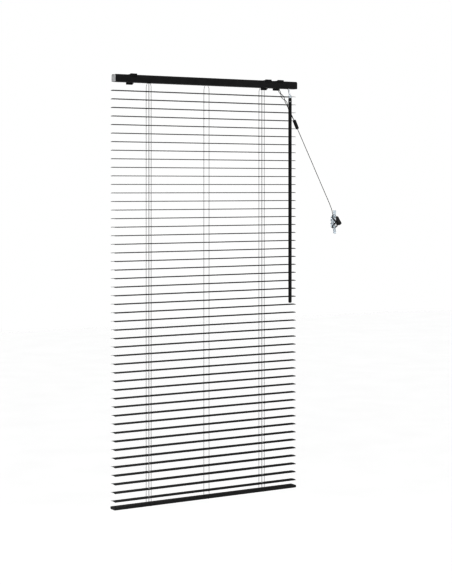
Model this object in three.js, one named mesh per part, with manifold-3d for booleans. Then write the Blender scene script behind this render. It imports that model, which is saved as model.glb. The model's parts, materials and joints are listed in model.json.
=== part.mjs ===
// A lowered, open venetian blind with its brackets, tilt wand, pull cord and cord cleat.
//
// Units are millimetres. +X runs along the slats, +Y points to the wall and +Z is up.
// The origin is on the wall plane, above the middle of the slats, level with the headrail's top.
//
// The slats hang in ladders: a front string and a back string with a rung under every slat.
// Turning the wand turns the tilt rod, whose drums pull one string up and let the other down, so
// every slat and the bottom rail turn together, each about its own axis.

import * as THREE from "three";
import { mergeVertices } from "three/addons/utils/BufferGeometryUtils.js";
import Module from "manifold-3d";

const wasm = await Module();
wasm.setup();

// ---------------------------------------------------------------- driving dimensions

const WALL_TO_SLATS = 14.5; // from the wall plane to the slats' centre plane
const PLANE_Y = -WALL_TO_SLATS;

const SLAT = { count: 49, pitch: 21.5, length: 550, depth: 25, thickness: 0.3, crown: 1.3, corner: 2 };
const FIRST_SLAT_Z = -40;
const SLAT_ARC_STEPS = 3;
const CORD_SLOT = { across: 14, wide: 4, x: [-172, 172] };

const HEADRAIL = { x: 3.7, length: 551, depth: 19, height: 19, wall: 0.8, lip: 3 };
const ROD = { x0: -186, x1: 245, radius: 3.2, z: -10 };
const DRUM = { radius: 7, length: 12, x: [-172, 0, 172] };

const BOTTOM_RAIL = { length: 550, depth: 25, height: 6.5, chamfer: 1.6, drop: 17.7 };
const STRING = { radius: 0.45, offset: 13.1, clearance: 0.4 };

const WAND = { x: 249, y: -36, top: -44.5, length: 549, radius: 4.2, neck: 2.5, taper: 5 };

const BRACKET = { width: 18, plate: 2.2, roof: 0.9, hook: 1.7, hookDrop: 3.2, toe: 5, toeThick: 2, tail: 4.7 };
const BRACKET_TAB = { top: 2.9, deep: 3.4 }; // the raised front edge of the bracket's roof
const BRACKET_AT = { left: -220.5, middle: 187.4, right: 226.3 };
const RAIL_CLEARANCE = 0.3; // between the headrail and the bracket round it
const BRACKET_HOLE = { radius: 2.25, z: [-6, -14] };

const CLEAT = { x: 413.8, z: -379.5, width: 7, foot: 15, footThick: 3, stem: 9, back: 8.6, front: 14.5, horn: 32 };

const CORD_RADIUS = 0.7;
const WINDING = { turns: 2, side: 6.6, rise: 14.6, behind: 5.4, front: 16.2, layer: 1.5, steps: 12 };

// ---------------------------------------------------------------- shared helpers

function toSolid(geometry) {
  const bare = geometry.clone();
  bare.deleteAttribute("normal");
  bare.deleteAttribute("uv");
  const merged = mergeVertices(bare, 1e-4);
  const vertProperties = new Float32Array(merged.attributes.position.array);
  const triVerts = new Uint32Array(merged.index.array);
  return new wasm.Manifold(new wasm.Mesh({ numProp: 3, vertProperties, triVerts }));
}

function toGeometry(solid) {
  const mesh = solid.getMesh();
  const geometry = new THREE.BufferGeometry();
  geometry.setAttribute("position", new THREE.BufferAttribute(mesh.vertProperties, 3));
  geometry.setIndex(new THREE.BufferAttribute(mesh.triVerts, 1));
  geometry.computeVertexNormals();
  return geometry;
}

function shapeOf(points) {
  return new THREE.Shape(points.map(([u, v]) => new THREE.Vector2(u, v)));
}

// A (y, z) outline pushed along X, centred on x = 0.
function alongX(outline, length) {
  const geometry = new THREE.ExtrudeGeometry(shapeOf(outline), { depth: length, bevelEnabled: false });
  geometry.translate(0, 0, -length / 2);
  const turn = new THREE.Matrix4().makeBasis(
    new THREE.Vector3(0, 1, 0),
    new THREE.Vector3(0, 0, 1),
    new THREE.Vector3(1, 0, 0),
  );
  return geometry.applyMatrix4(turn);
}

function rodAlongX(x0, x1, radius, sides) {
  const geometry = new THREE.CylinderGeometry(radius, radius, x1 - x0, sides);
  return geometry.rotateZ(Math.PI / 2).translate((x0 + x1) / 2, 0, 0);
}

function part(name, geometry, material, x, y, z) {
  const mesh = new THREE.Mesh(geometry, material);
  mesh.name = name;
  mesh.position.set(x, y, z);
  return mesh;
}

function paint(color, roughness, metalness = 0) {
  return new THREE.MeshStandardMaterial({ color, roughness, metalness });
}

// ---------------------------------------------------------------- slats

function slatZ(index) {
  return FIRST_SLAT_Z - index * SLAT.pitch;
}

// The height of the crowned strip's underside at y, measured from the slat's turning axis, which
// runs through the middle of its weight.
function crownZ(y) {
  const radius = SLAT.depth ** 2 / (8 * SLAT.crown) + SLAT.crown / 2;
  const rise = Math.sqrt(radius ** 2 - y ** 2) - (radius - SLAT.crown);
  return rise - (SLAT.crown * 2) / 3 - SLAT.thickness / 2;
}

function slatSection() {
  const under = [];
  for (let i = 0; i <= SLAT_ARC_STEPS; i += 1) {
    const y = SLAT.depth * (i / SLAT_ARC_STEPS - 0.5);
    under.push([y, crownZ(y)]);
  }
  const over = under.map(([y, z]) => [y, z + SLAT.thickness]).reverse();
  return [...under, ...over];
}

// A long slot across the slat, with pointed ends.
function cordSlot(x) {
  const wide = CORD_SLOT.wide / 2;
  const across = CORD_SLOT.across / 2;
  return shapeOf([
    [x, -across],
    [x + wide, wide - across],
    [x + wide, across - wide],
    [x, across],
    [x - wide, across - wide],
    [x - wide, wide - across],
  ]);
}

// The slat seen from above: its ends are clipped at the corners and a slot lets each lift cord by.
function slatPlan() {
  const halfLength = SLAT.length / 2;
  const halfDepth = SLAT.depth / 2;
  const clip = SLAT.corner;
  const plan = shapeOf([
    [-halfLength + clip, -halfDepth - 1],
    [halfLength - clip, -halfDepth - 1],
    [halfLength - clip, -halfDepth],
    [halfLength, -halfDepth + clip],
    [halfLength, halfDepth - clip],
    [halfLength - clip, halfDepth],
    [halfLength - clip, halfDepth + 1],
    [-halfLength + clip, halfDepth + 1],
    [-halfLength + clip, halfDepth],
    [-halfLength, halfDepth - clip],
    [-halfLength, -halfDepth + clip],
    [-halfLength + clip, -halfDepth],
  ]);
  plan.holes = CORD_SLOT.x.map(cordSlot);
  const tall = 4 * SLAT.crown;
  const options = { depth: 2 * tall, bevelEnabled: false };
  return new THREE.ExtrudeGeometry(plan, options).translate(0, 0, -tall);
}

function slatGeometry() {
  const strip = toSolid(alongX(slatSection(), SLAT.length + 2));
  return toGeometry(strip.intersect(toSolid(slatPlan())));
}

function slats() {
  const group = new THREE.Group();
  const geometry = slatGeometry();
  for (let i = 0; i < SLAT.count; i += 1) {
    const name = `slat_${String(i + 1).padStart(2, "0")}`;
    group.add(part(name, geometry, paint(0x1b1c1e, 0.42, 0.2), 0, PLANE_Y, slatZ(i)));
  }
  return group;
}

// ---------------------------------------------------------------- headrail and tilt rod

// An open-topped channel whose two walls end in lips turned inwards.
function headrail() {
  const { depth, height, wall, lip, length } = HEADRAIL;
  const half = depth / 2;
  const outline = [
    [-half, -height],
    [half, -height],
    [half, 0],
    [half - lip, 0],
    [half - lip, -wall],
    [half - wall, -wall],
    [half - wall, wall - height],
    [wall - half, wall - height],
    [wall - half, -wall],
    [lip - half, -wall],
    [lip - half, 0],
    [-half, 0],
  ];
  return part("headrail", alongX(outline, length), paint(0x1c1c1d, 0.4, 0.3), HEADRAIL.x, PLANE_Y, 0);
}

// The six-sided rod, with the drum over each ladder joined to it.
function tiltRod() {
  let solid = toSolid(rodAlongX(ROD.x0, ROD.x1, ROD.radius, 6));
  for (const x of DRUM.x) {
    const drum = rodAlongX(x - DRUM.length / 2, x + DRUM.length / 2, DRUM.radius, 16);
    solid = solid.add(toSolid(drum));
  }
  return part("tilt_rod_with_drums", toGeometry(solid), paint(0x8d9094, 0.35, 0.9), 0, PLANE_Y, ROD.z);
}

// ---------------------------------------------------------------- bottom rail and ladder strings

function bottomRailZ() {
  return slatZ(SLAT.count - 1) - BOTTOM_RAIL.drop;
}

function bottomRail() {
  const { length, depth, height, chamfer } = BOTTOM_RAIL;
  const y = depth / 2;
  const z = height / 2;
  const outline = [
    [chamfer - y, -z],
    [y - chamfer, -z],
    [y, chamfer - z],
    [y, z - chamfer],
    [y - chamfer, z],
    [chamfer - y, z],
    [-y, z - chamfer],
    [-y, chamfer - z],
  ];
  const geometry = alongX(outline, length);
  return part("bottom_rail", geometry, paint(0x161617, 0.45, 0.2), 0, PLANE_Y, bottomRailZ());
}

// The middle ladder's string on one side, from the first slat down to the bottom rail's top.
function ladderString(name, side) {
  const top = FIRST_SLAT_Z + STRING.clearance;
  const bottom = bottomRailZ() + BOTTOM_RAIL.height / 2 + STRING.clearance;
  const geometry = new THREE.CylinderGeometry(STRING.radius, STRING.radius, top - bottom, 8);
  geometry.rotateX(Math.PI / 2);
  return part(name, geometry, paint(0x202020, 0.85), 0, PLANE_Y + side * STRING.offset, (top + bottom) / 2);
}

// ---------------------------------------------------------------- wand

function tiltWand() {
  const { radius, neck, taper, length } = WAND;
  const profile = [
    [0, -length],
    [radius, -length],
    [radius, -taper],
    [neck, 0],
    [0, 0],
  ].map(([r, z]) => new THREE.Vector2(r, z));
  const geometry = new THREE.LatheGeometry(profile, 12).rotateX(Math.PI / 2);
  return part("tilt_wand", geometry, paint(0x17181a, 0.35), WAND.x, WAND.y, WAND.top);
}

// ---------------------------------------------------------------- brackets

// A plate on the wall, a thin roof over the headrail with a raised hook at its front, and a toe underneath.
function bracketOutline() {
  const { plate, roof, hook, hookDrop, toe, toeThick, tail } = BRACKET;
  const frontInside = PLANE_Y - HEADRAIL.depth / 2 - RAIL_CLEARANCE;
  const front = frontInside - hook;
  const underside = -HEADRAIL.height - RAIL_CLEARANCE;
  const roofTop = RAIL_CLEARANCE + roof;
  return [
    [0, roofTop],
    [front + BRACKET_TAB.deep, roofTop],
    [front + BRACKET_TAB.deep, BRACKET_TAB.top],
    [front, BRACKET_TAB.top],
    [front, -hookDrop],
    [frontInside, -hookDrop],
    [frontInside, RAIL_CLEARANCE],
    [-plate, RAIL_CLEARANCE],
    [-plate, underside],
    [-plate - toe, underside],
    [-plate - toe, underside - toeThick],
    [-plate, underside - toeThick],
    [-plate, -HEADRAIL.height - tail],
    [0, -HEADRAIL.height - tail],
  ];
}

function bracketGeometry() {
  let solid = toSolid(alongX(bracketOutline(), BRACKET.width));
  const drill = BRACKET_HOLE.radius;
  for (const z of BRACKET_HOLE.z) {
    const hole = new THREE.CylinderGeometry(drill, drill, 10, 8).translate(0, 0, z);
    solid = solid.subtract(toSolid(hole));
  }
  return toGeometry(solid);
}

function brackets() {
  const group = new THREE.Group();
  const geometry = bracketGeometry();
  for (const [place, x] of Object.entries(BRACKET_AT)) {
    group.add(part(`bracket_${place}`, geometry, paint(0x141414, 0.5), x, 0, 0));
  }
  return group;
}

// ---------------------------------------------------------------- cord cleat

// One side of the cleat, from the wall outwards, as (distance from the wall, height).
function cleatHalf(up) {
  const { foot, footThick, stem, back, front, horn } = CLEAT;
  return [
    [0, foot],
    [footThick, foot],
    [back - 2, stem],
    [back, stem + 4],
    [back + 2.4, horn],
    [front - 1, horn],
    [front, horn - 3],
    [front, stem],
  ].map(([out, height]) => [-out, up * height]);
}

function cordCleat() {
  const outline = [...cleatHalf(1), ...cleatHalf(-1).reverse()];
  const geometry = alongX(outline, CLEAT.width);
  const plastic = new THREE.MeshStandardMaterial({ color: 0xcfe0ea, roughness: 0.15, opacity: 0.5 });
  plastic.transparent = true;
  return part("cord_cleat", geometry, plastic, CLEAT.x, 0, CLEAT.z);
}

// ---------------------------------------------------------------- pull cord

// The figure of eight round the cleat: across the front at its middle, behind each horn in turn.
function windingPoint(turn) {
  const angle = Math.PI / 2 + 2 * Math.PI * turn;
  const layers = WINDING.layer * turn;
  const front = WINDING.front + 2 * layers;
  const out = (front + WINDING.behind) / 2 + ((front - WINDING.behind) / 2) * Math.cos(2 * angle);
  const x = -(WINDING.side + 0.6 * layers) * Math.sin(2 * angle);
  const z = (WINDING.rise + layers) * Math.sin(angle);
  return new THREE.Vector3(CLEAT.x + x, -out, CLEAT.z + z);
}

// The route from the headrail's cord lock, behind the wand, through the joiner to the cleat.
function cordRoute() {
  const points = [
    [221, -21.5, -19.5],
    [220.7, -23.5, -23],
    [221.3, -27.4, -28.5],
    [224.6, -28.9, -35],
    [231, -29.2, -43.5],
    [237.2, -29.3, -51],
    [242.7, -29.4, -60],
    [249.2, -29.6, -75],
    [260, -31, -93],
    [267.4, -32, -103.8],
    [276.2, -32, -126.8],
    [310, -25.7, -182.5],
    [345, -19.2, -240.2],
    [375, -13.6, -289.7],
    [399.3, -9, -329.7],
    [409.5, -6.8, -349.5],
  ].map((p) => new THREE.Vector3(...p));
  const steps = WINDING.steps * WINDING.turns;
  for (let i = 0; i <= steps; i += 1) points.push(windingPoint(i / WINDING.steps));
  const tail = [
    [7.5, 15.6, 10.8],
    [6.6, 13.8, 17.5],
    [2.8, 14.6, 24],
    [-0.6, 14.6, 27],
    [-2.6, 13, 28],
  ];
  for (const [x, up, out] of tail) points.push(new THREE.Vector3(CLEAT.x + x, -out, CLEAT.z + up));
  return points;
}

// A smooth curve that spreads its steps by point and not by length, so that tight turns get more.
class CordCurve extends THREE.CatmullRomCurve3 {
  getPointAt(u, target) {
    return this.getPoint(u, target);
  }

  getTangentAt(u, target) {
    return this.getTangent(u, target);
  }
}

function pullCord() {
  const route = cordRoute();
  const curve = new CordCurve(route, false, "centripetal");
  const section = [];
  for (let i = 0; i < 8; i += 1) {
    const angle = (i * Math.PI) / 4;
    section.push([CORD_RADIUS * Math.cos(angle), CORD_RADIUS * Math.sin(angle)]);
  }
  const options = { steps: 2 * route.length, extrudePath: curve, bevelEnabled: false };
  const geometry = new THREE.ExtrudeGeometry(shapeOf(section), options);
  return part("pull_cord", geometry, paint(0x1a1a1a, 0.85), 0, 0, 0);
}

// ---------------------------------------------------------------- the whole blind

const blind = new THREE.Group();
blind.add(headrail(), tiltRod(), slats(), bottomRail());
blind.add(ladderString("ladder_string_front", -1), ladderString("ladder_string_back", 1));
blind.add(tiltWand(), brackets(), cordCleat(), pullCord());

export default blind;
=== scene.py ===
"""The looks of a lowered, open venetian blind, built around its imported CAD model.

Lengths are in metres. +X runs along the slats, +Y points to the wall and +Z is up. Places come from
the CAD nodes' boxes and from the joints.
"""

import json
import math

import bmesh
import bpy
from mathutils import Matrix, Vector


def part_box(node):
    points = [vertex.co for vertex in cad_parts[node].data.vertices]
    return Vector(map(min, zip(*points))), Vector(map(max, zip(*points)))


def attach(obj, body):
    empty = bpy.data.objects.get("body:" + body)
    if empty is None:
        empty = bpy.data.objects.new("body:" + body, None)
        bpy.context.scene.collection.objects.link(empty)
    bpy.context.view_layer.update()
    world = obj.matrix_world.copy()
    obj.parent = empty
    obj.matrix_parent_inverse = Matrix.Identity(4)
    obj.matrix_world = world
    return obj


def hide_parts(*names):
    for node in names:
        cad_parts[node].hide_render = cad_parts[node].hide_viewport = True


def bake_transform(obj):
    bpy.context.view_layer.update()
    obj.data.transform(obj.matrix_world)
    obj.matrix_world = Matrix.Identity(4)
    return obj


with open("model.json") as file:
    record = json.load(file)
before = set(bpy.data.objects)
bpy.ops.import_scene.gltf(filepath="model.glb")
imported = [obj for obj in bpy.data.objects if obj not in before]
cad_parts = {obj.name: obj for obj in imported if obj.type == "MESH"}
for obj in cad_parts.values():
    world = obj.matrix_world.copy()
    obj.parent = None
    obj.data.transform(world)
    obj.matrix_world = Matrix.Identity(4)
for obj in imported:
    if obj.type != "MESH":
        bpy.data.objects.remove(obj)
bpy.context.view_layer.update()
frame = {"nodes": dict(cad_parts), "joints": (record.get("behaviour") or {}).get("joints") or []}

# ---------------------------------------------------------------- driving values

joint_at = {joint["name"]: Vector(joint["pos_m"]) for joint in frame["joints"]}
SLATS = sorted(name for name in frame["nodes"] if name.startswith("slat_"))
BRACKETS = sorted(name for name in frame["nodes"] if name.startswith("bracket_"))

PLANE_Y = joint_at["slat_01_tilt"].y
FIRST_SLAT_Z = joint_at["slat_01_tilt"].z
LAST_SLAT_Z = joint_at[f"{SLATS[-1]}_tilt"].z
PITCH = (FIRST_SLAT_Z - LAST_SLAT_Z) / (len(SLATS) - 1)

slat_low, slat_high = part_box("slat_01")
SLAT_LENGTH = slat_high.x - slat_low.x
SLAT_DEPTH = slat_high.y - slat_low.y
SLAT_THICKNESS = 0.0003
CROWN = 0.0013
SLAT_CORNER = 0.002
SLOT = {"across": 0.014, "wide": 0.004}
EDGE_Z = -CROWN * 2 / 3  # the slat's long edges, below its turning axis

rail_low, rail_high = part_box("headrail")
RAIL_DEPTH = rail_high.y - rail_low.y
RAIL_WALL = 0.0008
RAIL_LIP = 0.003
FLOOR_TOP = rail_low.z + RAIL_WALL
CAP_THICKNESS = 0.0016

LIFT_X = 0.172  # the lift cords and outer ladders, either side of the middle
LADDERS = {"left": -LIFT_X, "middle": 0.0, "right": LIFT_X}
LIFT_CORDS = {"left": -LIFT_X, "right": LIFT_X}
STRING_RADIUS = 0.000425
STRING_OFFSET = 0.0131
STRING_EXIT = 0.0078  # from the plane, where a string comes out of the headrail's floor
RUNG_RADIUS = 0.00025
LIFT_RADIUS = 0.00055
LIFT_FORWARD = 0.0012  # from the slats' centre plane to the lift cords

ROD_Z = joint_at["tilt_rod_turn"].z
ROD_RADIUS = 0.0032
rod_low, rod_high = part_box("tilt_rod_with_drums")
DRUM_LENGTH = 0.012
DRUM_RADIUS = 0.007
LOCK_X = 0.2215
LOCK_MOUTH_Y = -0.0215
STEM_EXIT = (0.2540, -0.0215)  # where the tilter's stem comes out of the headrail's floor

bottom_low, bottom_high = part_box("bottom_rail")
BOTTOM_Z = joint_at["bottom_rail_tilt"].z

wand_axis = joint_at["wand_spin"]
wand_low, wand_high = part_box("tilt_wand")

cleat_low, cleat_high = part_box("cord_cleat")
CLEAT_X = (cleat_low.x + cleat_high.x) / 2
CLEAT_Z = (cleat_low.z + cleat_high.z) / 2
CORD_RADIUS = 0.0007
CAMERA_TURN = math.radians(-32)  # the camera's turn about Z; the wand's cross hole faces it too

# ---------------------------------------------------------------- camera, at the photograph's angle

camera_data = bpy.data.cameras.new("camera")
camera_data.sensor_width = 36
camera_data.lens = 92.77
camera_data.shift_x = 0.0003
camera_data.shift_y = -0.18
camera_data.clip_end = 60
camera = bpy.data.objects.new("camera", camera_data)
camera.location = (-2.035, PLANE_Y - 3.352, -0.283)
camera.rotation_euler = (math.radians(90), 0, CAMERA_TURN)
bpy.context.scene.collection.objects.link(camera)
bpy.context.scene.camera = camera


# ---------------------------------------------------------------- mesh helpers


def arc(centre, radius, start, end, steps):
    """Points on a circle, from one angle to another in degrees."""
    points = []
    for i in range(steps + 1):
        angle = math.radians(start + (end - start) * i / steps)
        points.append((centre[0] + radius * math.cos(angle), centre[1] + radius * math.sin(angle)))
    return points


def rounded(corners, steps=5):
    """An outline from corners given as (u, v, radius), each turned into an arc."""
    outline = []
    for i, (u, v, radius) in enumerate(corners):
        corner = Vector((u, v))
        if not radius:
            outline.append((u, v))
            continue
        before = (Vector(corners[i - 1][:2]) - corner).normalized()
        after = (Vector(corners[(i + 1) % len(corners)][:2]) - corner).normalized()
        half = before.angle(after) / 2
        centre = corner + (before + after).normalized() * (radius / math.sin(half))
        first = corner + before * (radius / math.tan(half)) - centre
        last = corner + after * (radius / math.tan(half)) - centre
        start = math.atan2(first.y, first.x)
        sweep = math.atan2(first.x * last.y - first.y * last.x, first.dot(last))
        outline += arc(centre, radius, math.degrees(start), math.degrees(start + sweep), steps)
    return outline


def rectangle(u0, u1, v0, v1, radius):
    return [(u0, v0, radius), (u1, v0, radius), (u1, v1, radius), (u0, v1, radius)]


def prism(bm, outline, axis, low, high):
    """A closed outline pushed from low to high: (y, z) along X, (x, z) along Y or (x, y) along Z."""
    place = {
        "X": lambda u, v, w: (w, u, v),
        "Y": lambda u, v, w: (u, w, v),
        "Z": lambda u, v, w: (u, v, w),
    }[axis]
    near = [bm.verts.new(place(u, v, low)) for u, v in outline]
    far = [bm.verts.new(place(u, v, high)) for u, v in outline]
    bm.faces.new(near)
    bm.faces.new(list(reversed(far)))
    for i in range(len(outline)):
        j = (i + 1) % len(outline)
        bm.faces.new((near[j], near[i], far[i], far[j]))


def lathe(bm, profile, centre=(0, 0, 0), direction=(0, 0, 1), segments=32):
    """A (radius, height) profile turned about an axis; a radius of 0 closes it to a point."""
    turn = Vector((0, 0, 1)).rotation_difference(Vector(direction).normalized())
    rings = []
    for radius, height in profile:
        count = segments if radius > 0 else 1
        ring = []
        for i in range(count):
            angle = 2 * math.pi * i / segments
            point = Vector((radius * math.cos(angle), radius * math.sin(angle), height))
            ring.append(bm.verts.new(Vector(centre) + turn @ point))
        rings.append(ring)
    for low, high in zip(rings, rings[1:]):
        for i in range(segments):
            j = (i + 1) % segments
            corners = [low[i % len(low)], low[j % len(low)], high[j % len(high)], high[i % len(high)]]
            face = list(dict.fromkeys(corners))
            if len(face) > 2:
                bm.faces.new(face)
    for ring in (rings[0], rings[-1]):
        if len(ring) > 1:
            bm.faces.new(ring)


def tube(bm, points, radius, sides=8):
    """A round tube along points. radius is one number, or one for each point."""
    points = [Vector(p) for p in points]
    radii = radius if isinstance(radius, list) else [radius] * len(points)
    normal = None
    rings = []
    for i, point in enumerate(points):
        ahead = points[min(i + 1, len(points) - 1)] - points[max(i - 1, 0)]
        ahead.normalize()
        if normal is None:
            normal = ahead.orthogonal()
        normal = (normal - ahead * normal.dot(ahead)).normalized()
        side = ahead.cross(normal)
        ring = []
        for k in range(sides):
            angle = 2 * math.pi * k / sides
            offset = normal * math.cos(angle) + side * math.sin(angle)
            ring.append(bm.verts.new(point + offset * radii[i]))
        rings.append(ring)
    for low, high in zip(rings, rings[1:]):
        for k in range(sides):
            j = (k + 1) % sides
            bm.faces.new((low[k], low[j], high[j], high[k]))
    bm.faces.new(list(reversed(rings[0])))
    bm.faces.new(rings[-1])


def smoothed(mesh):
    """Shades a mesh smooth, but keeps its clear edges sharp."""
    mesh.shade_smooth()
    mesh.set_sharp_from_angle(angle=math.radians(35))
    return mesh


def build(name, maker):
    """A mesh from a function that adds its shape to a bmesh."""
    bm = bmesh.new()
    maker(bm)
    bmesh.ops.recalc_face_normals(bm, faces=bm.faces)
    mesh = bpy.data.meshes.new(name)
    bm.to_mesh(mesh)
    bm.free()
    return smoothed(mesh)


def combine(base, cutter, operation):
    """A boolean between two meshes, as a new mesh."""
    scene = bpy.context.scene
    body = bpy.data.objects.new("cut_body", base)
    tool = bpy.data.objects.new("cut_tool", cutter)
    scene.collection.objects.link(body)
    scene.collection.objects.link(tool)
    modifier = body.modifiers.new("cut", "BOOLEAN")
    modifier.operation = operation
    modifier.solver = "EXACT"
    modifier.object = tool
    bpy.context.view_layer.update()
    evaluated = body.evaluated_get(bpy.context.evaluated_depsgraph_get())
    result = bpy.data.meshes.new_from_object(evaluated)
    for leftover in (body, tool):
        bpy.data.objects.remove(leftover)
    return smoothed(result)


def place(name, data, material, body, slot, at=(0, 0, 0)):
    """A finished piece with its material, which rides on a CAD body."""
    piece = bpy.data.objects.new(name, data)
    bpy.context.scene.collection.objects.link(piece)
    piece.location = at
    data.materials.clear()
    data.materials.append(material)
    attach(piece, body)
    return piece


def loose_cord(name, mesh):
    """A length of cord that rides on no one body."""
    piece = bpy.data.objects.new(name, mesh)
    bpy.context.scene.collection.objects.link(piece)
    mesh.materials.append(CORD)
    return piece


def soften(piece, width, segments=2):
    """Rounds a piece's hard edges."""
    bevel = piece.modifiers.new("soft_edges", "BEVEL")
    bevel.width = width
    bevel.segments = segments
    bevel.limit_method = "ANGLE"
    bevel.angle_limit = math.radians(38)
    bevel.harden_normals = False
    return piece


# ---------------------------------------------------------------- materials


def new_material(name, roughness, **sockets):
    material = bpy.data.materials.new(name)
    material.use_nodes = True
    shader = material.node_tree.nodes["Principled BSDF"]
    shader.inputs["Roughness"].default_value = roughness
    for socket, value in sockets.items():
        shader.inputs[socket.replace("_", " ")].default_value = value
    return material


def noise(material, scale, detail=3.0, stretch=(1, 1, 1)):
    """Noise in the object's own coordinates, with features 1 / scale metres wide."""
    nodes, links = material.node_tree.nodes, material.node_tree.links
    coordinates = nodes.new("ShaderNodeTexCoord")
    mapping = nodes.new("ShaderNodeMapping")
    mapping.inputs["Scale"].default_value = stretch
    texture = nodes.new("ShaderNodeTexNoise")
    texture.inputs["Scale"].default_value = scale
    texture.inputs["Detail"].default_value = detail
    links.new(coordinates.outputs["Object"], mapping.inputs["Vector"])
    links.new(mapping.outputs["Vector"], texture.inputs["Vector"])
    return texture.outputs["Fac"]


def ramp(material, factor, low, high, start=0.3, end=0.7):
    """A colour ramp from one colour to another over part of a factor's range."""
    nodes, links = material.node_tree.nodes, material.node_tree.links
    node = nodes.new("ShaderNodeValToRGB")
    node.color_ramp.elements[0].position = start
    node.color_ramp.elements[1].position = end
    node.color_ramp.elements[0].color = (*low, 1)
    node.color_ramp.elements[1].color = (*high, 1)
    links.new(factor, node.inputs["Fac"])
    return node.outputs["Color"]


def vary(material, factor, low, high, socket="Roughness"):
    """Drives one socket between two values."""
    nodes, links = material.node_tree.nodes, material.node_tree.links
    node = nodes.new("ShaderNodeMapRange")
    node.inputs["From Min"].default_value = 0.3
    node.inputs["From Max"].default_value = 0.7
    node.inputs["To Min"].default_value = low
    node.inputs["To Max"].default_value = high
    links.new(factor, node.inputs["Value"])
    links.new(node.outputs["Result"], nodes["Principled BSDF"].inputs[socket])


def colour(material, output):
    shader = material.node_tree.nodes["Principled BSDF"]
    material.node_tree.links.new(output, shader.inputs["Base Color"])


def relief(material, height, depth, strength=1.0):
    """Bump of a given depth in metres."""
    nodes, links = material.node_tree.nodes, material.node_tree.links
    node = nodes.new("ShaderNodeBump")
    node.inputs["Strength"].default_value = strength
    node.inputs["Distance"].default_value = depth
    links.new(height, node.inputs["Height"])
    links.new(node.outputs["Normal"], nodes["Principled BSDF"].inputs["Normal"])


def slat_paint():
    """Satin black coil coating, with faint roller streaks along the strip."""
    material = new_material("slat_paint", 0.45, Specular_IOR_Level=0.2)
    streaks = noise(material, 1800, 2, stretch=(0.02, 1, 1))
    colour(material, ramp(material, streaks, (0.017, 0.017, 0.018), (0.026, 0.026, 0.027)))
    vary(material, streaks, 0.4, 0.52)
    relief(material, noise(material, 1600, 2), 0.00001, 0.5)
    return material


def rail_enamel(name):
    """Stove enamel on folded steel, with the fine orange peel of a sprayed coat."""
    material = new_material(name, 0.4, Specular_IOR_Level=0.25, Coat_Weight=0.1, Coat_Roughness=0.25)
    patches = noise(material, 45, 3)
    colour(material, ramp(material, patches, (0.019, 0.019, 0.0195), (0.027, 0.027, 0.0275)))
    vary(material, noise(material, 400, 2), 0.36, 0.46)
    relief(material, noise(material, 900, 2), 0.00002, 0.6)
    return material


def black_plastic():
    """Moulded black plastic with a slight sheen and a fine moulded grain."""
    material = new_material("black_plastic", 0.35, Specular_IOR_Level=0.3)
    patches = noise(material, 120, 3)
    colour(material, ramp(material, patches, (0.016, 0.016, 0.0165), (0.024, 0.024, 0.0245)))
    vary(material, patches, 0.3, 0.42)
    relief(material, noise(material, 2500, 2), 0.00002, 0.5)
    return material


def grey_plastic():
    """Light grey moulded plastic, a little cloudy."""
    material = new_material("grey_plastic", 0.45, Specular_IOR_Level=0.4)
    clouds = noise(material, 150, 3)
    colour(material, ramp(material, clouds, (0.41, 0.415, 0.42), (0.48, 0.485, 0.49)))
    vary(material, clouds, 0.4, 0.52)
    relief(material, noise(material, 2200, 2), 0.00002, 0.4)
    return material


def clear_plastic():
    """Clear polycarbonate with a faint blue tint and soft flow marks."""
    material = new_material("clear_plastic", 0.4, IOR=1.3, Transmission_Weight=0.55, Specular_IOR_Level=0.3)
    flow = noise(material, 140, 2, stretch=(1, 1, 0.4))
    colour(material, ramp(material, flow, (0.64, 0.69, 0.73), (0.74, 0.79, 0.82)))
    vary(material, flow, 0.34, 0.46)
    relief(material, flow, 0.00008, 0.4)
    return material


def zinc_steel():
    """Zinc plating over drawn steel: fine lines along the bar and cloudy patches."""
    material = new_material("steel", 0.35, Metallic=1.0)
    lines = noise(material, 900, 2, stretch=(0.05, 1, 1))
    patches = noise(material, 90, 4)
    colour(material, ramp(material, patches, (0.42, 0.43, 0.45), (0.60, 0.61, 0.63)))
    vary(material, patches, 0.28, 0.45)
    relief(material, lines, 0.00003, 0.5)
    return material


def braid(name, low, high):
    """Braided polyester: two sets of fine ridges that cross, and a little fuzz, with painted shade darkening
    the grooves between the ridges.
    """
    material = new_material(name, 0.85, Sheen_Weight=0.15, Sheen_Roughness=0.6, Specular_IOR_Level=0.2)
    nodes, links = material.node_tree.nodes, material.node_tree.links
    coordinates = nodes.new("ShaderNodeTexCoord")
    waves = []
    for tilt in (40, -40):
        mapping = nodes.new("ShaderNodeMapping")
        mapping.inputs["Rotation"].default_value = (0, math.radians(tilt), math.radians(tilt))
        wave = nodes.new("ShaderNodeTexWave")
        wave.inputs["Scale"].default_value = 420
        wave.inputs["Distortion"].default_value = 0.6
        links.new(coordinates.outputs["Object"], mapping.inputs["Vector"])
        links.new(mapping.outputs["Vector"], wave.inputs["Vector"])
        waves.append(wave.outputs["Fac"])
    crossed = nodes.new("ShaderNodeMath")
    crossed.operation = "MAXIMUM"
    links.new(waves[0], crossed.inputs[0])
    links.new(waves[1], crossed.inputs[1])
    # The colour follows the ridges: lighter on their crests and darker in the grooves. The darker grooves
    # are painted shade.
    colour(material, ramp(material, crossed.outputs["Value"], low, high, 0.2, 0.9))
    vary(material, noise(material, 3000, 2), 0.78, 0.92)
    relief(material, crossed.outputs["Value"], 0.00012, 0.8)
    return material


def floor_paint():
    """A pale, matt studio floor with hardly any tone in it."""
    material = new_material("studio_floor", 0.9, Specular_IOR_Level=0.0)
    colour(material, ramp(material, noise(material, 3, 2), (0.615, 0.615, 0.615), (0.625, 0.625, 0.625)))
    return material


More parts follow.
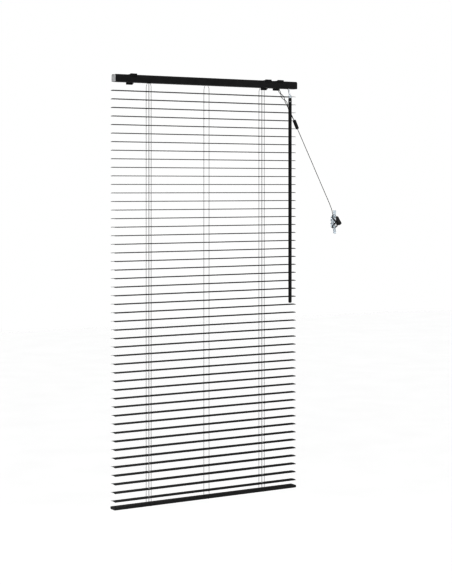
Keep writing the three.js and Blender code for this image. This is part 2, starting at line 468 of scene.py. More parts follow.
SLAT_PAINT = slat_paint()
RAIL_PAINT = rail_enamel("headrail_paint")
BOTTOM_PAINT = rail_enamel("rail_paint")
BLACK = black_plastic()
GREY = grey_plastic()
CLEAR = clear_plastic()
STEEL = zinc_steel()
# The darker colour is painted shade in the braid's grooves; the lighter one is the cord's black on the
# ridges.
CORD = braid("cord", (0.010, 0.010, 0.010), (0.035, 0.035, 0.034))

# ---------------------------------------------------------------- pull cord, joiner and tassel


def curve_through(points, steps):
    """A smooth centripetal curve through points, as a list of points."""
    points = [Vector(p) for p in points]
    ends = [points[0] * 2 - points[1], *points, points[-1] * 2 - points[-2]]
    line = [points[0]]
    for p0, p1, p2, p3 in zip(ends, ends[1:], ends[2:], ends[3:]):
        t1 = (p1 - p0).length ** 0.5
        t2 = t1 + (p2 - p1).length ** 0.5
        t3 = t2 + (p3 - p2).length ** 0.5
        for k in range(1, steps + 1):
            t = t1 + (t2 - t1) * k / steps
            a1 = p0 * (t1 - t) / t1 + p1 * t / t1
            a2 = p1 * (t2 - t) / (t2 - t1) + p2 * (t - t1) / (t2 - t1)
            a3 = p2 * (t3 - t) / (t3 - t2) + p3 * (t - t2) / (t3 - t2)
            b1 = a1 * (t2 - t) / t2 + a2 * t / t2
            b2 = a2 * (t3 - t) / (t3 - t1) + a3 * (t - t1) / (t3 - t1)
            line.append(b1 * (t2 - t) / (t2 - t1) + b2 * (t - t1) / (t2 - t1))
    return line


def cord_curve(name, line):
    """One open spline with a round section."""
    curve = bpy.data.curves.new(name, "CURVE")
    curve.dimensions = "3D"
    curve.bevel_depth = CORD_RADIUS
    curve.bevel_resolution = 3
    curve.use_fill_caps = True
    spline = curve.splines.new("POLY")
    spline.points.add(len(line) - 1)
    for point, at in zip(spline.points, line):
        point.co = (*at, 1)
    return curve


STRAND_ROUTE = [  # the pair of cords, from the lock's mouth to the joiner's top
    (0.2210, -0.0215, -0.0195),
    (0.2207, -0.0235, -0.0230),
    (0.2213, -0.0274, -0.0285),
    (0.2246, -0.0289, -0.0350),
    (0.2310, -0.0292, -0.0435),
    (0.2372, -0.0293, -0.0510),
    (0.2427, -0.0294, -0.0600),
    (0.2492, -0.0296, -0.0750),
    (0.2582, -0.0308, -0.0925),
    (0.2650, -0.0320, -0.1036),
]
SINGLE_ROUTE = [  # the single cord, from the joiner's foot to the cleat
    (0.2762, -0.0320, -0.1268),
    (0.3100, -0.0257, -0.1825),
    (0.3450, -0.0192, -0.2402),
    (0.3750, -0.0136, -0.2897),
    (0.3993, -0.0090, -0.3297),
    (0.4095, -0.0068, -0.3495),
]
TAIL = [  # from the cleat's middle: along X, up, and out from the wall
    (0.0075, 0.0156, 0.0108),
    (0.0066, 0.0138, 0.0175),
    (0.0028, 0.0146, 0.0240),
    (-0.0006, 0.0146, 0.0270),
    (-0.0026, 0.0130, 0.0280),
]
WINDING = {
    "turns": 2, "steps": 12, "side": 0.0066, "rise": 0.0146, "behind": 0.0054, "front": 0.0162,
    "layer": 0.0015, "side_layer": 0.6,
}
TASSEL_LENGTH = 0.0215
TASSEL_DIRECTION = Vector((0.0008, -0.0075, -0.0190)).normalized()


def winding_point(turn):
    """The figure of eight round the cleat: over its front, and behind each horn in turn."""
    angle = math.pi / 2 + 2 * math.pi * turn
    layers = WINDING["layer"] * turn
    front = WINDING["front"] + 2 * layers
    middle, reach = (front + WINDING["behind"]) / 2, (front - WINDING["behind"]) / 2
    out = middle + reach * math.cos(2 * angle)
    x = -(WINDING["side"] + WINDING["side_layer"] * layers) * math.sin(2 * angle)
    z = (WINDING["rise"] + layers) * math.sin(angle)
    return Vector((CLEAT_X + x, -out, CLEAT_Z + z))


def single_line():
    """The single cord's route, its turns round the cleat, and its tail."""
    points = [Vector(p) for p in SINGLE_ROUTE]
    steps = WINDING["steps"]
    points += [winding_point(i / steps) for i in range(steps * WINDING["turns"] + 1)]
    points += [Vector((CLEAT_X + x, -out, CLEAT_Z + up)) for x, up, out in TAIL]
    return curve_through(points, 4)


def strand_line(sign):
    """One cord of the pair. The two part and cross as they go, and lie together at the joiner."""
    middle = curve_through(STRAND_ROUTE, 8)
    line = []
    for i, point in enumerate(middle):
        t = i / (len(middle) - 1)
        ahead = (middle[min(i + 1, len(middle) - 1)] - middle[max(i - 1, 0)]).normalized()
        sideways = ahead.cross(Vector((0, 1, 0))).normalized()
        deep = ahead.cross(sideways)
        angle = math.pi * (0.5 + 4.5 * t)
        spread = 0.0009 + 0.0024 * math.sin(math.pi * min(1, 1.15 * t)) ** 2
        offset = sideways * spread * math.sin(angle) + deep * 0.00085 * math.cos(angle)
        line.append(point + offset * sign)
    return line


def joiner_mesh(foot, top):
    """A moulded barrel with a rounded mouth at each end."""
    length = (Vector(top) - Vector(foot)).length
    profile = [
        (0.0016, 0), (0.0032, 0.0002), (0.0039, 0.0008), (0.0042, 0.0018), (0.0042, length - 0.0018),
        (0.0039, length - 0.0008), (0.0032, length - 0.0002), (0.0016, length),
    ]
    return build("cord_joiner", lambda bm: lathe(bm, profile, foot, Vector(top) - Vector(foot), 28))


def tassel_mesh(narrow, wide):
    """A solid moulded cone, rounded over at its wide end."""
    length = (Vector(wide) - Vector(narrow)).length
    profile = [
        (0.0, 0.0), (0.0022, 0.0001), (0.0030, 0.0006), (0.0034, 0.0016), (0.0045, length * 0.35),
        (0.0073, length * 0.88), (0.0074, length * 0.94), (0.0070, length * 0.99), (0.0056, length + 0.0010),
        (0.0032, length + 0.0019), (0.0, length + 0.0022),
    ]
    return build("cord_tassel", lambda bm: lathe(bm, profile, narrow, Vector(wide) - Vector(narrow), 32))


def pull_cords():
    top, foot = Vector(STRAND_ROUTE[-1]), Vector(SINGLE_ROUTE[0])
    joiner = place("cord_joiner", joiner_mesh(foot, top), BLACK, "headrail", "black_plastic")
    line = single_line()
    narrow = line[-1] - TASSEL_DIRECTION * 0.0015
    wide = narrow + TASSEL_DIRECTION * TASSEL_LENGTH
    tassel = place("cord_tassel", tassel_mesh(narrow, wide), BLACK, "headrail", "black_plastic")
    for sign, side in ((1, "a"), (-1, "b")):
        strand = strand_line(sign)
        piece = place(f"pull_cord_strand_{side}", cord_curve("strand", strand), CORD, "headrail", "cord")
    single = place("pull_cord_single", cord_curve("single", line), CORD, "headrail", "cord")
    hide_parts("pull_cord")


pull_cords()

# ---------------------------------------------------------------- slats and rungs


def crown_z(y):
    """Height of the crowned strip's underside at y, from the slat's turning axis."""
    radius = SLAT_DEPTH**2 / (8 * CROWN) + CROWN / 2
    rise = math.sqrt(radius**2 - y**2) - (radius - CROWN)
    return rise - CROWN * 2 / 3 - SLAT_THICKNESS / 2


def slat_mesh():
    """A crowned strip with rounded corners and a round-ended slot at each lift cord."""
    arc_steps = 14
    under = []
    for i in range(arc_steps + 1):
        y = SLAT_DEPTH * (i / arc_steps - 0.5)
        under.append((y, crown_z(y)))
    section = under + [(y, z + SLAT_THICKNESS) for y, z in reversed(under)]
    half = SLAT_LENGTH / 2
    strip = build("strip", lambda bm: prism(bm, section, "X", -half - 0.001, half + 0.001))
    outline = rounded(rectangle(-half, half, -SLAT_DEPTH / 2 - 1e-5, SLAT_DEPTH / 2 + 1e-5, SLAT_CORNER))
    plan = build("plan", lambda bm: prism(bm, outline, "Z", -0.01, 0.01))
    mesh = combine(strip, plan, "INTERSECT")

    def slots(bm):
        wide, across = SLOT["wide"] / 2, SLOT["across"] / 2
        for x in LIFT_CORDS.values():
            prism(bm, rounded(rectangle(x - wide, x + wide, -across, across, wide * 0.98)), "Z", -0.01, 0.01)

    return combine(mesh, build("slots", slots), "DIFFERENCE")


def rung_mesh():
    """The two crossing threads of each ladder under one slat."""

    def threads(bm):
        for x in LADDERS.values():
            for side in (-1, 1):
                points = []
                for i in range(11):
                    t = i / 10
                    y = STRING_OFFSET * (2 * t - 1)
                    inside = max(-SLAT_DEPTH / 2, min(SLAT_DEPTH / 2, y))
                    z = crown_z(inside) - RUNG_RADIUS - 0.00005
                    points.append((x + side * 0.0012 * math.sin(math.pi * t), y, z))
                tube(bm, points, RUNG_RADIUS, 6)

    return build("rungs", threads)


def slats():
    shared_slat, shared_rungs = slat_mesh(), rung_mesh()
    for name in SLATS:
        axis = joint_at[f"{name}_tilt"]
        strip = place(f"{name}_strip", shared_slat, SLAT_PAINT, name, "slat_paint", axis)
        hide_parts(name)
        place(f"{name}_rungs", shared_rungs, CORD, name, "cord", axis)


slats()

# ---------------------------------------------------------------- ladder strings and lift cords


def string_run():
    """The z of each ring of a long string, and its radius there: it is thicker at each rung."""
    levels = []
    for i in range(len(SLATS)):
        z = FIRST_SLAT_Z + EDGE_Z - i * PITCH
        for shift, swell in ((0.0014, 1.0), (0.0006, 1.45), (-0.0006, 1.45), (-0.0014, 1.0)):
            levels.append((z + shift, STRING_RADIUS * swell))
    levels[0] = (FIRST_SLAT_Z + EDGE_Z, STRING_RADIUS)
    levels = [level for level in levels if level[0] <= FIRST_SLAT_Z + EDGE_Z]
    levels.append((BOTTOM_Z, STRING_RADIUS))
    return levels


def ladder_strings():
    for side, sign in (("front", -1), ("back", 1)):
        y = PLANE_Y + sign * STRING_OFFSET
        for ladder, x in LADDERS.items():
            run = string_run()
            points = [(x, y, z) for z, _ in run]
            radii = [radius for _, radius in run]
            mesh = build("string", lambda bm: tube(bm, points, radii, 6))
            piece = place(f"ladder_{ladder}_{side}_string", mesh, CORD, f"ladder_{side}", "cord")
            if ladder == "middle":
                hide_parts(f"ladder_string_{side}")
            top_stretch(ladder, side, x, sign)


def top_stretch(ladder, side, x, sign):
    """The string between the headrail's floor and the first slat's edge."""
    slot = Vector((x, PLANE_Y + sign * STRING_EXIT, rail_low.z))
    edge = Vector((x, PLANE_Y + sign * STRING_OFFSET, FIRST_SLAT_Z + EDGE_Z))
    knee = Vector((x, edge.y - sign * 0.0006, slot.z - 0.0085))
    inside = slot + Vector((0, 0, 0.002))
    line = curve_through([inside, slot, (slot + knee) / 2, knee, knee.lerp(edge, 0.5), edge], 5)
    mesh = build("top_stretch", lambda bm: tube(bm, line, STRING_RADIUS, 6))
    piece = loose_cord(f"ladder_{ladder}_{side}_top", mesh)
    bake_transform(piece)


def lift_cords():
    """Each hangs through its slots to the bottom rail."""
    for name, x in LIFT_CORDS.items():
        y = PLANE_Y - LIFT_FORWARD
        start = Vector((x, y, LAST_SLAT_Z - 0.0112))
        end = Vector((x, PLANE_Y, BOTTOM_Z + 0.0018))
        points = [(x, y, FLOOR_TOP + 0.002)] + [start.lerp(end, i / 12) for i in range(13)]
        mesh = build("lift_cord", lambda bm: tube(bm, points, LIFT_RADIUS, 8))
        piece = loose_cord(f"lift_cord_{name}", mesh)
        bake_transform(piece)


def lift_cord_runs():
    """Inside the headrail, each lift cord goes beside the drums to the lock."""
    for name, x, side in (("left", -LIFT_X, -1), ("right", LIFT_X, 1)):
        y = PLANE_Y + side * 0.0078
        lane = FLOOR_TOP + 0.0028 + (0.0013 if side > 0 else 0)
        points = [
            (x, PLANE_Y - LIFT_FORWARD, FLOOR_TOP + 0.001), (x + 0.001, PLANE_Y - LIFT_FORWARD, lane),
            (x + 0.005, PLANE_Y + side * 0.004, lane), (x + 0.014, y, lane), (x + 0.024, y, lane),
            (LOCK_X - 0.030, y, lane), (LOCK_X - 0.020, y, lane),
            (LOCK_X - 0.010, PLANE_Y - 0.003 + side * 0.0012, lane + 0.001),
            (LOCK_X - 0.003, PLANE_Y - 0.004 + side * 0.0008, lane + 0.001),
        ]
        line = curve_through(points, 4)
        mesh = build("run", lambda bm: tube(bm, line, LIFT_RADIUS, 8))
        place(f"lift_cord_run_{name}", mesh, CORD, "headrail", "cord")


ladder_strings()
lift_cords()
lift_cord_runs()

# ---------------------------------------------------------------- headrail and what is in it


def channel_outline():
    """The section of a rolled channel, open at its top, with lips turned inwards."""
    half, wall, lip = RAIL_DEPTH / 2, RAIL_WALL, RAIL_LIP
    floor, top = rail_low.z, rail_high.z
    outer, inner, edge = 0.0014, 0.0006, 0.0003
    corners = [
        (-half, floor, outer), (half, floor, outer), (half, top, outer), (half - lip, top, edge),
        (half - lip, top - wall, edge), (half - wall, top - wall, inner),
        (half - wall, floor + wall, inner), (wall - half, floor + wall, inner),
        (wall - half, top - wall, inner), (lip - half, top - wall, edge),
        (lip - half, top, edge), (-half, top, outer),
    ]
    return [(PLANE_Y + y, z) for y, z in rounded(corners, 5)]


def floor_openings(bm):
    """A slot for each cradle, one for the cord lock's mouth and one for the tilter's stem."""
    low, high = rail_low.z - 0.001, FLOOR_TOP + 0.001
    for x in LADDERS.values():
        hole = rounded(rectangle(x - 0.005, x + 0.005, PLANE_Y - 0.0083, PLANE_Y + 0.0083, 0.0015))
        prism(bm, hole, "Z", low, high)
    mouth = rectangle(LOCK_X - 0.007, LOCK_X + 0.007, LOCK_MOUTH_Y - 0.0016, PLANE_Y + 0.004, 0.0015)
    prism(bm, rounded(mouth), "Z", low, high)
    x, y = STEM_EXIT
    stem = rounded(rectangle(x - 0.0032, x + 0.0032, PLANE_Y - 0.0086, y + 0.0048, 0.0012))
    prism(bm, stem, "Z", low, high)


def headrail():
    """The channel, with its floor cut for the cradles, the lock and the stem."""
    outline = channel_outline()
    channel = build("channel", lambda bm: prism(bm, outline, "X", rail_low.x, rail_high.x))
    mesh = combine(channel, build("openings", floor_openings), "DIFFERENCE")
    piece = place("headrail_channel", mesh, RAIL_PAINT, "headrail", "headrail_paint")
    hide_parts("headrail")


def end_cap_mesh(inward):
    """A plate over the channel's end, with a plug that grips inside it. inward is +1 or -1 along X."""
    half = RAIL_DEPTH / 2
    plate = rounded(rectangle(PLANE_Y - half, PLANE_Y + half, rail_low.z, rail_high.z - 0.0018, 0.0016))
    room = half - RAIL_WALL - 0.0002
    floor, roof = FLOOR_TOP + 0.0002, rail_high.z - 0.0022
    wall = 0.0012
    plug = rounded([
        (PLANE_Y - room, floor, 0.0007), (PLANE_Y + room, floor, 0.0007), (PLANE_Y + room, roof, 0.0004),
        (PLANE_Y + room - wall, roof, 0.0004), (PLANE_Y + room - wall, floor + wall, 0.0005),
        (PLANE_Y - room + wall, floor + wall, 0.0005), (PLANE_Y - room + wall, roof, 0.0004),
        (PLANE_Y - room, roof, 0.0004),
    ], 3)
    boss = rounded(rectangle(PLANE_Y - 0.004, PLANE_Y + 0.004, ROD_Z - 0.004, ROD_Z + 0.004, 0.0039), 6)
    sunk = 0.0004

    def shape(bm):
        prism(bm, plate, "X", min(0, -inward * CAP_THICKNESS), max(0, -inward * CAP_THICKNESS))
        prism(bm, plug, "X", min(-inward * sunk, inward * 0.009), max(-inward * sunk, inward * 0.009))
        prism(bm, boss, "X", min(-inward * sunk, inward * 0.004), max(-inward * sunk, inward * 0.004))

    return build("end_cap", shape)


def end_caps():
    for name, x, inward, paint, slot in (
        ("left", rail_low.x, 1, GREY, "grey_plastic"),
        ("right", rail_high.x, -1, BLACK, "black_plastic"),
    ):
        cap = place(f"headrail_cap_{name}", end_cap_mesh(inward), paint, "headrail", slot, (x, 0, 0))
        soften(cap, 0.0003)


def tilt_rod():
    """A hexagonal rod, which turns the drums."""
    outline = [(PLANE_Y + u, ROD_Z + v) for u, v in arc((0, 0), ROD_RADIUS, 0, 300, 5)]
    mesh = build("tilt_rod", lambda bm: prism(bm, outline, "X", rod_low.x, rod_high.x))
    rod = place("tilt_rod", mesh, STEEL, "tilt_rod", "steel")
    soften(rod, 0.0003)
    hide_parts("tilt_rod_with_drums")


def drum_mesh():
    """A spool with a flange at each end and a groove for each string."""
    half = DRUM_LENGTH / 2
    bore = ROD_RADIUS * 0.9
    profile = [(bore, -half), (DRUM_RADIUS - 0.0004, -half), (DRUM_RADIUS, -half + 0.0003)]
    groove = DRUM_RADIUS - 0.0018
    for start in (-half + 0.0012, 0.0004):
        profile += [(DRUM_RADIUS, start), (groove, start + 0.0006)]
        profile += [(groove, start + 0.0032), (DRUM_RADIUS, start + 0.0038)]
    profile += [(DRUM_RADIUS, half - 0.0003), (DRUM_RADIUS - 0.0004, half), (bore, half)]
    return build("drum", lambda bm: lathe(bm, profile, direction=(1, 0, 0), segments=40))


def cradle_mesh(boss):
    """A saddle clipped into the headrail's floor, with a cheek either side of the drum.

    boss is (y, z): the front and the foot of the lift cord's guide under the floor. None leaves it out.
    """
    base = rounded(rectangle(-0.0095, 0.0095, -0.0064, 0.0064, 0.001))
    plug = rounded(rectangle(-0.0048, 0.0048, -0.0080, 0.0080, 0.0015))
    notch = arc((0, ROD_Z), ROD_RADIUS + 0.0004, 0, -180, 12)
    cheek_top = ROD_Z + 0.0016
    cheek = [(-0.0064, FLOOR_TOP), (0.0064, FLOOR_TOP), (0.0055, cheek_top), *notch, (-0.0055, cheek_top)]

    def shape(bm):
        prism(bm, base, "Z", FLOOR_TOP + 0.00005, FLOOR_TOP + 0.0008)
        prism(bm, plug, "Z", rail_low.z - 0.0001, FLOOR_TOP + 0.0001)
        if boss:
            y, z = boss
            prism(bm, rounded(rectangle(-0.0045, 0.0045, y, y + 0.0055, 0.0012)), "Z", z, rail_low.z)
        for x in (-DRUM_LENGTH / 2 - 0.0021, DRUM_LENGTH / 2 + 0.0006):
            prism(bm, cheek, "X", x, x + 0.0015)

    return build("cradle", shape)


def drums_and_cradles():
    guide = (-0.0070, rail_low.z - 0.0011)
    shared_drum = drum_mesh()
    for name, x in LADDERS.items():
        place(f"drum_{name}", shared_drum, BLACK, "tilt_rod", "black_plastic", (x, PLANE_Y, ROD_Z))
        mesh = cradle_mesh(guide if name in LIFT_CORDS else None)
        cradle = place(f"cradle_{name}", mesh, BLACK, "headrail", "black_plastic", (x, PLANE_Y, 0))
        soften(cradle, 0.0002)


def tilter():
    """The worm's housing in the headrail, and the stem that slants down to the wand."""
    x = wand_axis.x
    room = RAIL_DEPTH / 2 - RAIL_WALL - 0.0003
    side = rounded([
        (PLANE_Y - room, FLOOR_TOP + 0.0002, 0.0008), (PLANE_Y + room, FLOOR_TOP + 0.0002, 0.0008),
        (PLANE_Y + room, ROD_Z + 0.0045, 0.002), (PLANE_Y + 0.003, rail_high.z - 0.0015, 0.002),
        (PLANE_Y - 0.003, rail_high.z - 0.0015, 0.002), (PLANE_Y - room, ROD_Z + 0.0045, 0.002),
    ])
    mesh = build("tilter_housing", lambda bm: prism(bm, side, "X", x - 0.0055, x + 0.0105))
    soften(place("tilter_housing", mesh, GREY, "headrail", "grey_plastic"), 0.0005, 3)

    foot = Vector((x, wand_axis.y, wand_axis.z + 0.0035))
    top = foot + (Vector((*STEM_EXIT, rail_low.z)) - foot) * 1.14
    length = (top - foot).length
    profile = [
        (0.0, -0.0006), (0.0011, -0.0004), (0.0017, 0.0002), (0.0018, 0.0010), (0.0018, length - 0.0062),
        (0.0021, length - 0.0060), (0.0021, length - 0.0005), (0.0, length),
    ]
    stem = build("tilter_stem", lambda bm: lathe(bm, profile, foot, top - foot, 24))
    place("tilter_stem", stem, STEEL, "headrail", "steel")

    collar = [(0.0021, -0.0013), (0.0033, -0.0012), (0.0036, -0.0006), (0.0036, 0.0016), (0.0021, 0.0018)]
    at = foot.lerp(top, 0.93)
    ring = build("stem_collar", lambda bm: lathe(bm, collar, at, top - foot, 24))
    place("tilter_stem_collar", ring, BLACK, "headrail", "black_plastic")


def cord_lock():
    """A housing whose mouth comes through the floor, with the roller that grips the cords."""
    room = RAIL_DEPTH / 2 - RAIL_WALL - 0.0003
    floor = FLOOR_TOP + 0.0002
    side = rounded([
        (PLANE_Y - room, floor, 0.0006), (PLANE_Y + room, floor, 0.0006),
        (PLANE_Y + room, rail_high.z - 0.0060, 0.0020), (PLANE_Y + 0.0020, rail_high.z - 0.0024, 0.0020),
        (PLANE_Y - room, rail_high.z - 0.0024, 0.0015),
    ])
    base = rounded(rectangle(LOCK_X - 0.0055, LOCK_X + 0.0055, PLANE_Y - room, PLANE_Y + room, 0.001))
    mouth = rectangle(LOCK_X - 0.0042, LOCK_X + 0.0042, LOCK_MOUTH_Y - 0.0010, PLANE_Y + 0.0020, 0.001)

    def shape(bm):
        for x in (LOCK_X - 0.0140, LOCK_X + 0.0058):
            prism(bm, side, "X", x, x + 0.0012)
        prism(bm, base, "Z", floor, floor + 0.0010)
        prism(bm, rounded(mouth), "Z", rail_low.z - 0.0008, floor + 0.0002)

    soften(place("cord_lock", build("cord_lock", shape), BLACK, "headrail", "black_plastic"), 0.0003)

    roller = [(0.0, -0.0085), (0.0012, -0.0085), (0.0012, -0.0062), (0.0026, -0.0060)]
    for i in range(7):
        roller += [(0.0030, -0.0056 + 0.0016 * i), (0.0026, -0.0048 + 0.0016 * i)]
    roller += [(0.0026, 0.0060), (0.0012, 0.0062), (0.0012, 0.0085), (0.0, 0.0085)]
    centre = (LOCK_X - 0.0035, PLANE_Y - 0.0054, ROD_Z - 0.0036)
    mesh = build("lock_roller", lambda bm: lathe(bm, roller, centre, (1, 0, 0), 24))
    place("cord_lock_roller", mesh, STEEL, "headrail", "steel")


headrail()
end_caps()
tilt_rod()
drums_and_cradles()
tilter()
cord_lock()

# ---------------------------------------------------------------- brackets


def bracket_outline(low, high):
    """The bracket's section: wall plate, thin roof with a raised front hook, and a toe under the rail."""
    plate, roof, gap, tab = 0.0022, 0.0009, 0.0003, 0.0034
    hook, drop, toe, thick = 0.0017, 0.0032, 0.0050, 0.0020
    toe_top = rail_low.z - gap
    return rounded([
        (high.y, gap + roof, 0.0004), (low.y + tab, gap + roof, 0.0003), (low.y + tab, high.z, 0.0006),
        (low.y, high.z, 0.0008), (low.y, -drop, 0.0006), (low.y + hook, -drop, 0.0006),
        (low.y + hook, gap, 0.0005), (high.y - plate, gap, 0.0005),
        (high.y - plate, toe_top, 0.0005), (high.y - plate - toe, toe_top, 0.0005),
        (high.y - plate - toe, toe_top - thick, 0.0006), (high.y - plate, toe_top - thick, 0.0005),
        (high.y - plate, low.z, 0.0006), (high.y, low.z, 0.0006),
    ], 4)


def bracket_holes(bm, x, high):
    """Two screw holes in the wall plate."""
    radius = 0.00225
    for z in (-0.006, -0.014):  # below the headrail's top
        prism(bm, arc((x, z), radius, 0, 345, 23), "Y", high.y - 0.005, high.y + 0.001)


def brackets():
    for name in BRACKETS:
        low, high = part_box(name)
        outline = bracket_outline(low, high)
        body = build("bracket", lambda bm: prism(bm, outline, "X", low.x, high.x))
        holes = build("holes", lambda bm: bracket_holes(bm, (low.x + high.x) / 2, high))
        mesh = combine(body, holes, "DIFFERENCE")
        piece = place(f"{name}_moulding", mesh, BLACK, "headrail", "black_plastic")
        soften(piece, 0.0003)
        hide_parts(name)


brackets()

# ---------------------------------------------------------------- bottom rail


def bottom_rail():
    """The weighted rail, its end caps, the plugs under the ladders and the strings' lower ends."""
    half = (bottom_high.y - bottom_low.y) / 2
    section = rounded(rectangle(PLANE_Y - half, PLANE_Y + half, bottom_low.z, bottom_high.z, 0.0020), 6)
    cap = 0.0014
    mesh = build("bottom_rail", lambda bm: prism(bm, section, "X", bottom_low.x + cap, bottom_high.x - cap))
    rail = place("bottom_rail_bar", mesh, BOTTOM_PAINT, "bottom_rail", "rail_paint")
    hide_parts("bottom_rail")
    for name, x0 in (("left", bottom_low.x), ("right", bottom_high.x - cap)):
        end = build("rail_cap", lambda bm: prism(bm, section, "X", x0, x0 + cap))
        piece = place(f"bottom_rail_cap_{name}", end, BLACK, "bottom_rail", "black_plastic")
        soften(piece, 0.0005, 3)

    button = [
        (0.0, -0.0017), (0.0026, -0.0016), (0.0040, -0.0012), (0.0047, -0.0005), (0.0048, 0.0002),
        (0.0030, 0.0004), (0.0, 0.0004),
    ]
    shared_plug = build("plug", lambda bm: lathe(bm, button, segments=36))
    for ladder, x in LADDERS.items():
        place(f"bottom_rail_plug_{ladder}", shared_plug, BLACK, "bottom_rail", "black_plastic",
              (x, PLANE_Y, bottom_low.z))

        def tails(bm):
            below = bottom_low.z - STRING_RADIUS * 0.6
            for sign in (-1, 1):
                points = [
                    (x, PLANE_Y + sign * STRING_OFFSET, BOTTOM_Z),
                    (x, PLANE_Y + sign * STRING_OFFSET, BOTTOM_Z - 0.0010),
                    (x, PLANE_Y + sign * (STRING_OFFSET - 0.0002), BOTTOM_Z - 0.0020),
                    (x, PLANE_Y + sign * (half - 0.0008), below + 0.0006),
                    (x, PLANE_Y + sign * (half - 0.0022), below),
                    (x, PLANE_Y + sign * 0.0070, below),
                    (x, PLANE_Y + sign * 0.0044, below),
                ]
                tube(bm, curve_through(points, 3), STRING_RADIUS, 6)

        place(f"ladder_{ladder}_tails", build("tails", tails), CORD, "bottom_rail", "cord")


bottom_rail()

# ---------------------------------------------------------------- wand


def tilt_wand():
    """The wand with its cross hole, and the clear sleeve that hooks it to the tilter's stem."""
    x, y = wand_axis.x, wand_axis.y
    top, foot = wand_high.z, wand_low.z
    radius = (wand_high.x - wand_low.x) / 2
    profile = [
        (0.0, foot), (radius * 0.55, foot + 0.0002), (radius * 0.88, foot + 0.0010),
        (radius, foot + 0.0026), (radius, top - 0.0020), (radius * 0.94, top - 0.0014),
        (radius * 0.60, top - 0.0012), (radius * 0.55, top - 0.0001), (0.0, top),
    ]
    stick = build("wand", lambda bm: lathe(bm, profile, (x, y, 0), segments=32))
    ring = arc((x, top - 0.0100), 0.0014, 0, 337.5, 15)
    hole = build("hole", lambda bm: prism(bm, ring, "Y", y - 0.01, y + 0.01))
    stick = combine(stick, hole, "DIFFERENCE")
    axis = Matrix.Translation((x, y, 0))
    stick.transform(axis @ Matrix.Rotation(CAMERA_TURN, 4, "Z") @ axis.inverted())
    wand = place("tilt_wand_stick", stick, BLACK, "wand", "black_plastic")
    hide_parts("tilt_wand")

    sleeve_profile = [
        (0.0, -0.0012), (0.0030, -0.0012), (0.0038, -0.0004), (0.0040, 0.0014), (0.0040, 0.0042),
        (0.0037, 0.0062), (0.0029, 0.0073), (0.0, 0.0076),
    ]
    mesh = build("sleeve", lambda bm: lathe(bm, sleeve_profile, (x, y, top), segments=32))
    place("wand_connector", mesh, CLEAR, "wand", "clear_plastic")

    def pin(bm):
        tube(bm, [(x - 0.0046, y, top + 0.0035), (x + 0.0046, y, top + 0.0035)], 0.0007, 12)

    place("wand_connector_pin", build("pin", pin), GREY, "wand", "grey_plastic")


tilt_wand()

# ---------------------------------------------------------------- cleat and its screws


def cleat_half(up):
    """One side of the cleat, from the wall outwards, as (distance out, height, corner radius)."""
    side = [
        (0.0000, 0.0150, 0.0006), (0.0030, 0.0150, 0.0012), (0.0066, 0.0090, 0.0020),
        (0.0086, 0.0130, 0.0030), (0.0110, 0.0320, 0.0011), (0.0135, 0.0320, 0.0011),
        (0.0145, 0.0290, 0.0015), (0.0145, 0.0090, 0.0030),
    ]
    return [(-out, up * height, radius) for out, height, radius in side]


def cleat():
    outline = rounded(cleat_half(1) + list(reversed(cleat_half(-1))), 5)
    outline = [(y, CLEAT_Z + z) for y, z in outline]
    mesh = build("cleat", lambda bm: prism(bm, outline, "X", cleat_low.x, cleat_high.x))
    piece = place("cleat_moulding", mesh, CLEAR, "headrail", "clear_plastic")
    soften(piece, 0.0011, 4)
    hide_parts("cord_cleat")


def screw_mesh():
    """A pan-head wood screw along +Y, whose head is at the origin: ridges stand for its thread."""
    length, core, crest, pitch = 0.0245, 0.0009, 0.0014, 0.0012
    profile = [(0.0, -0.0017), (0.0014, -0.0016), (0.0024, -0.0011), (0.0028, -0.0003), (0.0028, 0.0)]
    profile += [(crest, 0.0), (crest, 0.0050)]
    at = 0.0054
    while at < length - 0.0030:
        profile += [(core, at), (crest, at + pitch / 2)]
        at += pitch
    profile += [(core, at), (0.0, length)]
    return build("screw", lambda bm: lathe(bm, profile, direction=(0, 1, 0), segments=20))


def screws():
    shared = screw_mesh()
    from_middle, head_y = 0.00525, -0.0146
    for name, shift in (("upper", from_middle), ("lower", -from_middle)):
        place(f"cleat_screw_{name}", shared, STEEL, "headrail", "steel", (CLEAT_X, head_y, CLEAT_Z + shift))


cleat()
screws()

# ---------------------------------------------------------------- studio


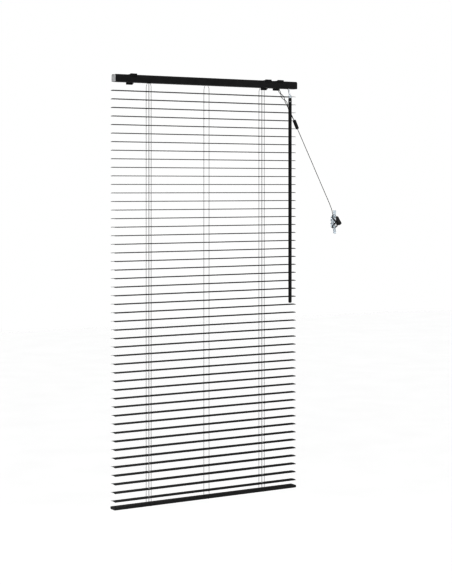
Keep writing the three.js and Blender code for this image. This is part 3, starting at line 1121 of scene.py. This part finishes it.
def area_light(name, at, aim, size, power):
    data = bpy.data.lights.new(name, "AREA")
    data.shape = "DISK"
    data.size = size
    data.energy = power
    light = bpy.data.objects.new(name, data)
    light.location = at
    light.rotation_euler = (Vector(aim) - Vector(at)).to_track_quat("-Z", "Y").to_euler()
    bpy.context.scene.collection.objects.link(light)


def studio():
    """Three soft lights, a wide sun, a floor, and a white world that lights less than it shows."""
    middle = (0.05, PLANE_Y, -0.55)
    area_light("key", (-2.6, -2.4, 1.6), middle, 2.2, 22)
    area_light("fill", (2.8, -2.6, 0.4), middle, 2.6, 10)
    area_light("back", (0.6, 2.8, 1.2), middle, 2.4, 14)

    data = bpy.data.lights.new("overhead", "SUN")
    data.energy = 4.4
    data.angle = math.radians(120)
    overhead = bpy.data.objects.new("overhead", data)
    overhead.rotation_euler = (math.radians(12), math.radians(-10), 0)
    bpy.context.scene.collection.objects.link(overhead)

    plan = rounded(rectangle(-14, 14, -14, 14, 3), 8)
    floor = build("studio_floor", lambda bm: prism(bm, plan, "Z", -2.12, -2.10))
    floor_object = bpy.data.objects.new("studio_floor", floor)
    bpy.context.scene.collection.objects.link(floor_object)
    floor.materials.append(floor_paint())

    world = bpy.data.worlds.new("studio_world")
    world.use_nodes = True
    nodes, links = world.node_tree.nodes, world.node_tree.links
    path = nodes.new("ShaderNodeLightPath")
    seen = nodes.new("ShaderNodeMath")
    seen.operation = "MAXIMUM"
    strength = nodes.new("ShaderNodeMath")
    strength.operation = "MULTIPLY_ADD"
    strength.inputs[1].default_value = 0.75
    strength.inputs[2].default_value = 0.25
    links.new(path.outputs["Is Camera Ray"], seen.inputs[0])
    links.new(path.outputs["Is Transmission Ray"], seen.inputs[1])
    links.new(seen.outputs["Value"], strength.inputs[0])
    links.new(strength.outputs["Value"], nodes["Background"].inputs["Strength"])
    nodes["Background"].inputs["Color"].default_value = (1, 1, 1, 1)
    bpy.context.scene.world = world
    bpy.context.scene.view_settings.view_transform = "Standard"
    bpy.context.scene.view_settings.gamma = 0.65


studio()
